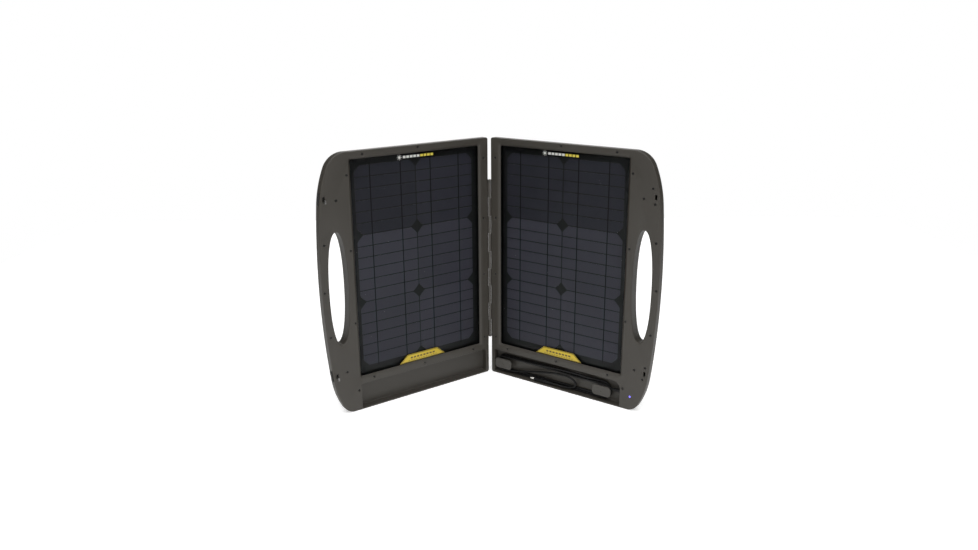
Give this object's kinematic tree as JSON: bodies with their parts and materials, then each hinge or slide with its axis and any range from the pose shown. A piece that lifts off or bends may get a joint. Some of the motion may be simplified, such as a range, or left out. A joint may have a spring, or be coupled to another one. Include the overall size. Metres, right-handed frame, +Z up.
{
  "type": "solar suitcase kit",
  "caption": "Fold-open twin solar panel case with a hinged pair of framed laminates, oval handle slots, latches, kickstand legs and a cord tray.",
  "frame": {"origin": "on the floor, under the middle of the open case's plan box", "axes": "+Z up, -Y towards the side that the V opens to, +X to the right half"},
  "size_m": [0.6112, 0.2276, 0.4887],
  "materials": {
    "case": "fine moulded grain, satin",
    "black_plastic": "moulded satin",
    "cleat_plastic": "moulded satin",
    "rubber": "matt",
    "panel_glass": "clear, smooth",
    "cells": "dark blue-black silicon with fine silver lines",
    "backsheet": "matt film",
    "yellow_label": "printed film",
    "dark_screw": "black oxide",
    "painted_hinge": "powder coat",
    "steel": "zinc plated",
    "nickel": "nickel plated",
    "circuit_board": "solder mask",
    "led_lens": "tinted lens"
  },
  "bodies": {
    "left_half": {"hinge_pin": "steel", "left_back_cover": "case", "left_backsheet": "backsheet", "left_case_screw_1": "dark_screw", "left_case_screw_2": "dark_screw", "left_case_screw_3": "dark_screw", "left_case_screw_4": "dark_screw", "left_cell_sheet": "cells", "left_front_frame": "case", "left_hinge_leaf": "painted_hinge", "left_hinge_screw_1": "dark_screw", "left_hinge_screw_2": "dark_screw", "left_junction_box": "black_plastic", "left_junction_lid": "black_plastic", "left_leg_pin": "steel", "left_panel_gasket": "rubber", "left_panel_glass": "panel_glass", "left_panel_lead": "rubber", "left_yellow_tab": "yellow_label", "lower_latch_spring": "steel", "upper_latch_spring": "steel"},
    "right_half": {"charge_board": "circuit_board", "charge_led": "led_lens", "cord_gland": "rubber", "cord_hank": "rubber", "cord_lead": "rubber", "cord_tail": "rubber", "inner_cord_cleat": "cleat_plastic", "lower_keeper": "steel", "outer_cord_cleat": "cleat_plastic", "plug_body": "rubber", "plug_tip": "nickel", "right_back_cover": "case", "right_backsheet": "backsheet", "right_case_screw_1": "dark_screw", "right_case_screw_2": "dark_screw", "right_case_screw_3": "dark_screw", "right_case_screw_4": "dark_screw", "right_cell_sheet": "cells", "right_front_frame": "case", "right_hinge_leaf": "painted_hinge", "right_hinge_screw_1": "dark_screw", "right_hinge_screw_2": "dark_screw", "right_junction_box": "black_plastic", "right_junction_lid": "black_plastic", "right_leg_pin": "steel", "right_panel_gasket": "rubber", "right_panel_glass": "panel_glass", "right_panel_lead": "rubber", "right_yellow_tab": "yellow_label", "upper_keeper": "steel"},
    "upper_latch": {"upper_latch_slider": "black_plastic", "upper_latch_hook": "steel"},
    "lower_latch": {"lower_latch_slider": "black_plastic", "lower_latch_hook": "steel"},
    "left_kickstand": {"left_leg": "black_plastic", "left_leg_foot": "rubber"},
    "right_kickstand": {"right_leg": "black_plastic", "right_leg_foot": "rubber"}
  },
  "joints": [
    {"name": "main_hinge", "type": "hinge", "parent": "left_half", "child": "right_half", "pos_m": [0, 0.10148, 0.078], "axis": [0, 0, 1], "range_deg": [-107.8, 72.2]},
    {"name": "upper_latch_slide", "type": "slide", "parent": "left_half", "child": "upper_latch", "axis": [0, 0, 1], "range_m": [0, 0.0045], "stiffness_N_per_m": 300, "springref_m": -0.003, "deforming": ["upper_latch_spring"]},
    {"name": "lower_latch_slide", "type": "slide", "parent": "left_half", "child": "lower_latch", "axis": [0, 0, 1], "range_m": [0, 0.0045], "stiffness_N_per_m": 300, "springref_m": -0.003, "deforming": ["lower_latch_spring"]},
    {"name": "left_leg_hinge", "type": "hinge", "parent": "left_half", "child": "left_kickstand", "pos_m": [-0.14272, 0.02216, 0.38], "axis": [0.808, 0.5892, 0], "range_deg": [0, 50]},
    {"name": "right_leg_hinge", "type": "hinge", "parent": "right_half", "child": "right_kickstand", "pos_m": [0.14272, 0.02216, 0.38], "axis": [0.808, -0.5892, 0], "range_deg": [0, 50]}
  ]
}
